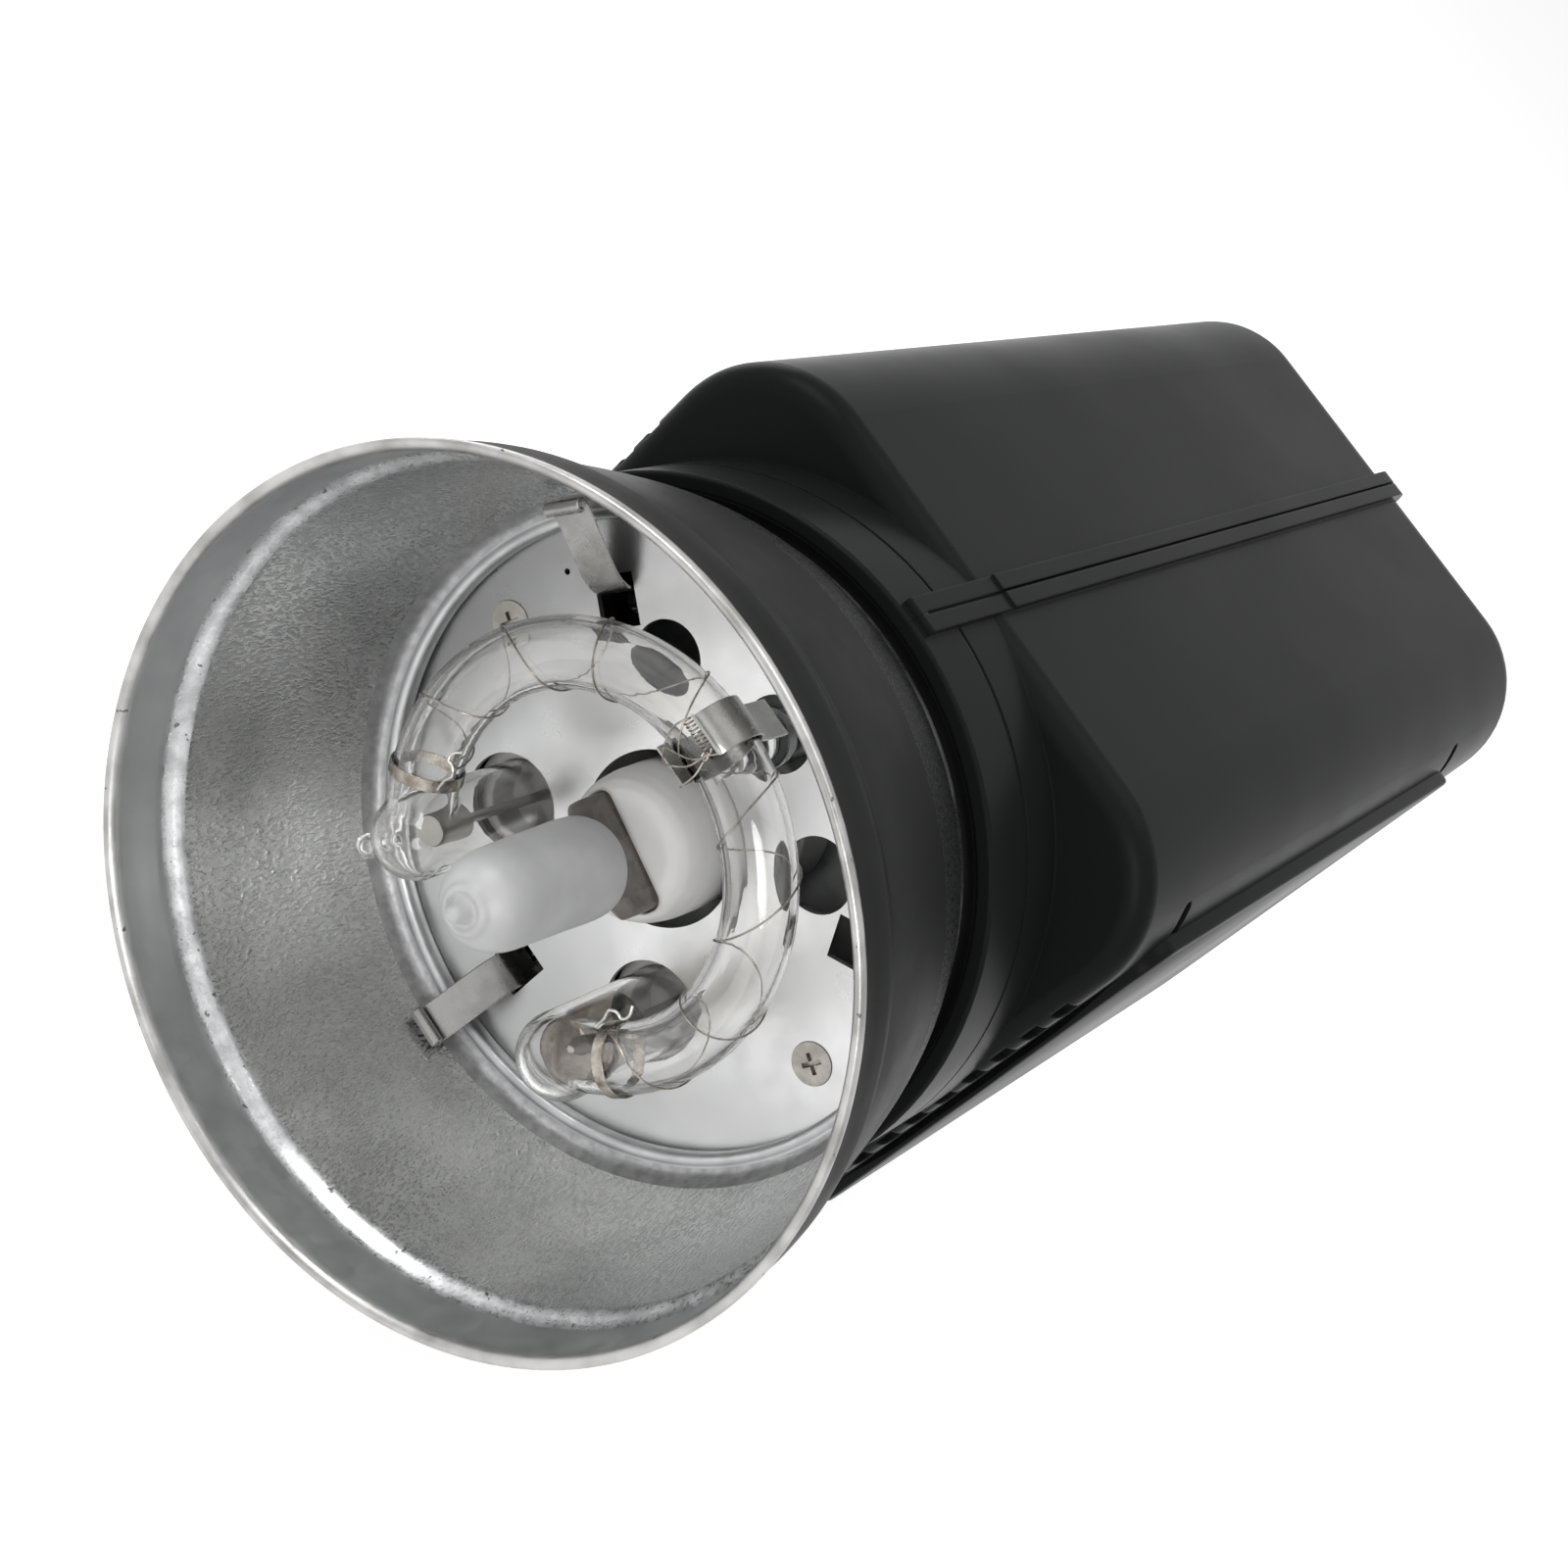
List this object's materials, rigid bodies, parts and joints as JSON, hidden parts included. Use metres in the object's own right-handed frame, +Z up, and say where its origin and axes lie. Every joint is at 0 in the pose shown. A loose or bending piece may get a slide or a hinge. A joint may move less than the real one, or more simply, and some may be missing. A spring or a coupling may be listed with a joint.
{
  "type": "studio strobe",
  "caption": "Mains studio flash head with an open round reflector, horseshoe flash tube, modelling lamp, vented square case and a tilting stand bracket.",
  "frame": {"origin": "mouth of the stand socket, on its axis", "axes": "X to the right seen from in front of the lamp, Y back along the light axis, Z up out of the stand; the light leaves towards -Y"},
  "size_m": [0.1788, 0.379, 0.2498],
  "materials": {
    "reflector": "satin black lacquer outside, hammered bright alloy bowl inside",
    "case": "fine-textured charcoal moulding",
    "plate": "brushed, lightly soiled",
    "steel": "zinc plated",
    "spring_steel": "bright spring steel",
    "black_plastic": "matt black",
    "quartz": "clear quartz",
    "tungsten": "sintered grey metal",
    "band": "thin tarnished strip",
    "wire": "heat-darkened wire",
    "clear_post": "ribbed clear glass",
    "clip": "bright strip",
    "ceramic": "unglazed off-white",
    "frosted_glass": "frosted capsule",
    "pinch_glass": "flattened clear glass",
    "zinc": "folded plated sheet",
    "capacitor_sleeve": "shrink sleeve",
    "board": "glass-fibre circuit board with its parts",
    "coil_tape": "taped winding",
    "copper": "enamelled copper winding",
    "panel": "powder-coated sheet",
    "black_screw": "blackened steel",
    "red_plastic": "moulded, slightly translucent",
    "knob_grey": "light grey moulding",
    "white_plastic": "moulded",
    "nickel": "nickel plate",
    "green_lens": "coloured lens",
    "red_lens": "dark red dome",
    "bracket_paint": "textured black paint on cast alloy",
    "knob_black": "moulded black grip on a steel screw"
  },
  "bodies": {
    "stand_block": {"tilt_block": "bracket_paint"},
    "head": {"reflector": "reflector", "case_left": "case", "case_right": "case", "face_plate": "plate", "face_screws": "steel", "front_ring": "black_plastic", "finger_pins": "steel", "finger_springs": "spring_steel", "flash_tube": "quartz", "electrodes": "tungsten", "tube_bands": "band", "trigger_wire": "wire", "tube_post": "clear_post", "tube_clip": "clip", "clip_spring": "wire", "tube_sockets": "ceramic", "lamp_capsule": "frosted_glass", "lamp_pinch": "pinch_glass", "lamp_holder": "ceramic", "chassis": "zinc", "capacitors": "capacitor_sleeve", "cap_strap": "zinc", "power_board": "board", "trigger_coil": "coil_tape", "choke": "copper", "control_board": "board", "fan_frame": "black_plastic", "fan_guard": "steel", "rear_panel": "panel", "panel_screws": "black_screw", "case_screws": "black_screw", "power_bezel": "black_plastic", "model_bezel": "black_plastic", "breaker_body": "black_plastic", "sync_socket": "nickel", "ready_lamp": "green_lens", "slave_dome": "red_lens", "inlet_shell": "black_plastic", "inlet_pins": "nickel", "bracket": "bracket_paint", "bracket_screws": "black_screw", "tilt_bolt": "steel"},
    "finger_a": {"finger_a": "spring_steel"},
    "finger_b": {"finger_b": "spring_steel"},
    "finger_c": {"finger_c": "spring_steel"},
    "fan": {"fan_rotor": "black_plastic"},
    "power_switch": {"power_rocker": "red_plastic"},
    "model_switch": {"model_rocker": "black_plastic"},
    "flash_fader": {"flash_slider": "knob_grey"},
    "model_fader": {"model_slider": "knob_grey"},
    "test_key": {"test_button": "red_plastic"},
    "breaker_key": {"breaker_button": "white_plastic"},
    "tilt_clamp": {"tilt_knob": "knob_black"},
    "stand_clamp": {"stand_knob": "knob_black"},
    "umbrella_clamp": {"umbrella_screw": "knob_black"}
  },
  "joints": [
    {"name": "head_tilt", "type": "hinge", "parent": "stand_block", "child": "head", "pos_m": [0, 0, 0.056], "axis": [1, 0, 0], "range_deg": [-60, 60]},
    {"name": "tilt_knob_turn", "type": "hinge", "parent": "head", "child": "tilt_clamp", "pos_m": [-0.031, 0, 0.056], "axis": [-1, 0, 0], "range_deg": [0, 360]},
    {"name": "stand_knob_turn", "type": "hinge", "parent": "stand_block", "child": "stand_clamp", "pos_m": [-0.03, 0, 0.011], "axis": [-1, 0, 0], "range_deg": [0, 720]},
    {"name": "umbrella_screw_turn", "type": "hinge", "parent": "stand_block", "child": "umbrella_clamp", "pos_m": [0.02, 0, 0.032], "axis": [1, 0, 0], "range_deg": [0, 720]},
    {"name": "finger_a_hinge", "type": "hinge", "parent": "head", "child": "finger_a", "pos_m": [-0.0433, -0.106, 0.185], "axis": [0.5, 0, 0.866], "range_deg": [0, 13], "stiffness_Nm_per_rad": 0.05, "springref_deg": -28.65},
    {"name": "finger_b_hinge", "type": "hinge", "parent": "head", "child": "finger_b", "pos_m": [0, -0.106, 0.11], "axis": [-1, 0, 0], "range_deg": [0, 13], "stiffness_Nm_per_rad": 0.05, "springref_deg": -28.65},
    {"name": "finger_c_hinge", "type": "hinge", "parent": "head", "child": "finger_c", "pos_m": [0.0433, -0.106, 0.185], "axis": [0.5, 0, -0.866], "range_deg": [0, 13], "stiffness_Nm_per_rad": 0.05, "springref_deg": -28.65},
    {"name": "fan_spin", "type": "hinge", "parent": "head", "child": "fan", "pos_m": [-0.024, 0.17, 0.142], "axis": [0, 1, 0], "continuous": true},
    {"name": "power_rock", "type": "hinge", "parent": "head", "child": "power_switch", "pos_m": [0.014, 0.1745, 0.193], "axis": [1, 0, 0], "range_deg": [0, 16]},
    {"name": "model_rock", "type": "hinge", "parent": "head", "child": "model_switch", "pos_m": [0.036, 0.1745, 0.193], "axis": [1, 0, 0], "range_deg": [0, 16]},
    {"name": "flash_fade", "type": "slide", "parent": "head", "child": "flash_fader", "axis": [1, 0, 0], "range_m": [-0.018, 0.018]},
    {"name": "model_fade", "type": "slide", "parent": "head", "child": "model_fader", "axis": [1, 0, 0], "range_m": [-0.018, 0.018]},
    {"name": "test_press", "type": "slide", "parent": "head", "child": "test_key", "axis": [0, -1, 0], "range_m": [0, 0.002], "stiffness_N_per_m": 300, "springref_m": -0.002},
    {"name": "breaker_press", "type": "slide", "parent": "head", "child": "breaker_key", "axis": [0, -1, 0], "range_m": [0, 0.002], "stiffness_N_per_m": 400, "springref_m": -0.002}
  ]
}
